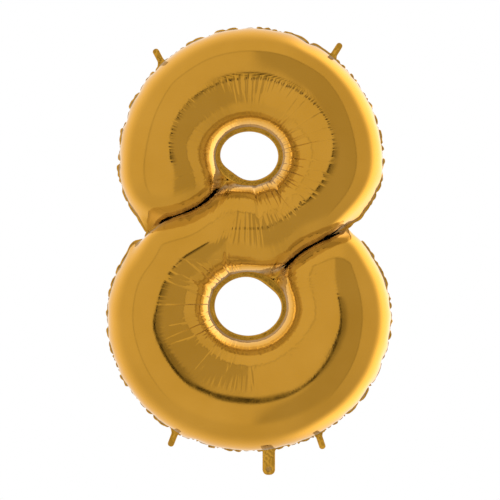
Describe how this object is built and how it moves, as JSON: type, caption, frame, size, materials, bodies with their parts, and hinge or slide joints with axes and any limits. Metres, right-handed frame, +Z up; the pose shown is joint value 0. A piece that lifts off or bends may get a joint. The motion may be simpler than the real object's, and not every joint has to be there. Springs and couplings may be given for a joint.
{
  "type": "foil number balloon",
  "caption": "Inflated gold foil balloon in the shape of the digit eight, with a filling neck, a film valve inside and fold-out tie tabs round its edge.",
  "frame": {"origin": "middle of the balloon's box, on the plane of its seams", "axes": "+Z up the digit, +X to the right of the digit as read, -Y the front"},
  "size_m": [0.6438, 0.211, 1.003],
  "materials": {
    "gold_film": "mirror-bright gold metallised film, finely wrinkled under gas pressure",
    "welded_film": "two gold metallised films heat-welded flat, slightly rippled and less mirror-like",
    "valve_film": "clear polyethylene film"
  },
  "bodies": {
    "balloon": {"front_panel": "gold_film", "back_panel": "gold_film", "outer_seal": "welded_film", "upper_hole_seal": "welded_film", "lower_hole_seal": "welded_film", "left_waist_seal": "welded_film", "right_waist_seal": "welded_film", "valve_front_ply": "valve_film", "valve_back_ply": "valve_film"},
    "top_left_tab": {"top_left_tab": "welded_film"},
    "top_right_tab": {"top_right_tab": "welded_film"},
    "bottom_left_tab": {"bottom_left_tab": "welded_film"},
    "bottom_right_tab": {"bottom_right_tab": "welded_film"},
    "neck": {"neck_front_film": "gold_film", "neck_back_film": "gold_film"}
  },
  "joints": [
    {"name": "top_left_tab_fold", "type": "hinge", "parent": "balloon", "child": "top_left_tab", "pos_m": [-0.19956, 0, 0.42801], "axis": [-0.8829, 0, -0.4695], "range_deg": [-90, 90], "stiffness_Nm_per_rad": 0.0001},
    {"name": "top_right_tab_fold", "type": "hinge", "parent": "balloon", "child": "top_right_tab", "pos_m": [0.19188, 0, 0.44158], "axis": [-0.848, 0, 0.5299], "range_deg": [-90, 90], "stiffness_Nm_per_rad": 0.0001},
    {"name": "bottom_left_tab_fold", "type": "hinge", "parent": "balloon", "child": "bottom_left_tab", "pos_m": [-0.16799, 0, -0.41447], "axis": [0.9336, 0, -0.3584], "range_deg": [-90, 90], "stiffness_Nm_per_rad": 0.0001},
    {"name": "bottom_right_tab_fold", "type": "hinge", "parent": "balloon", "child": "bottom_right_tab", "pos_m": [0.15796, 0, -0.4199], "axis": [0.9511, 0, 0.309], "range_deg": [-90, 90], "stiffness_Nm_per_rad": 0.0001},
    {"name": "neck_fold", "type": "hinge", "parent": "balloon", "child": "neck", "pos_m": [0.044, 0, -0.45857], "axis": [1, 0, 0], "range_deg": [-90, 90], "stiffness_Nm_per_rad": 0.0004, "deforming": ["valve_front_ply", "valve_back_ply"]}
  ]
}
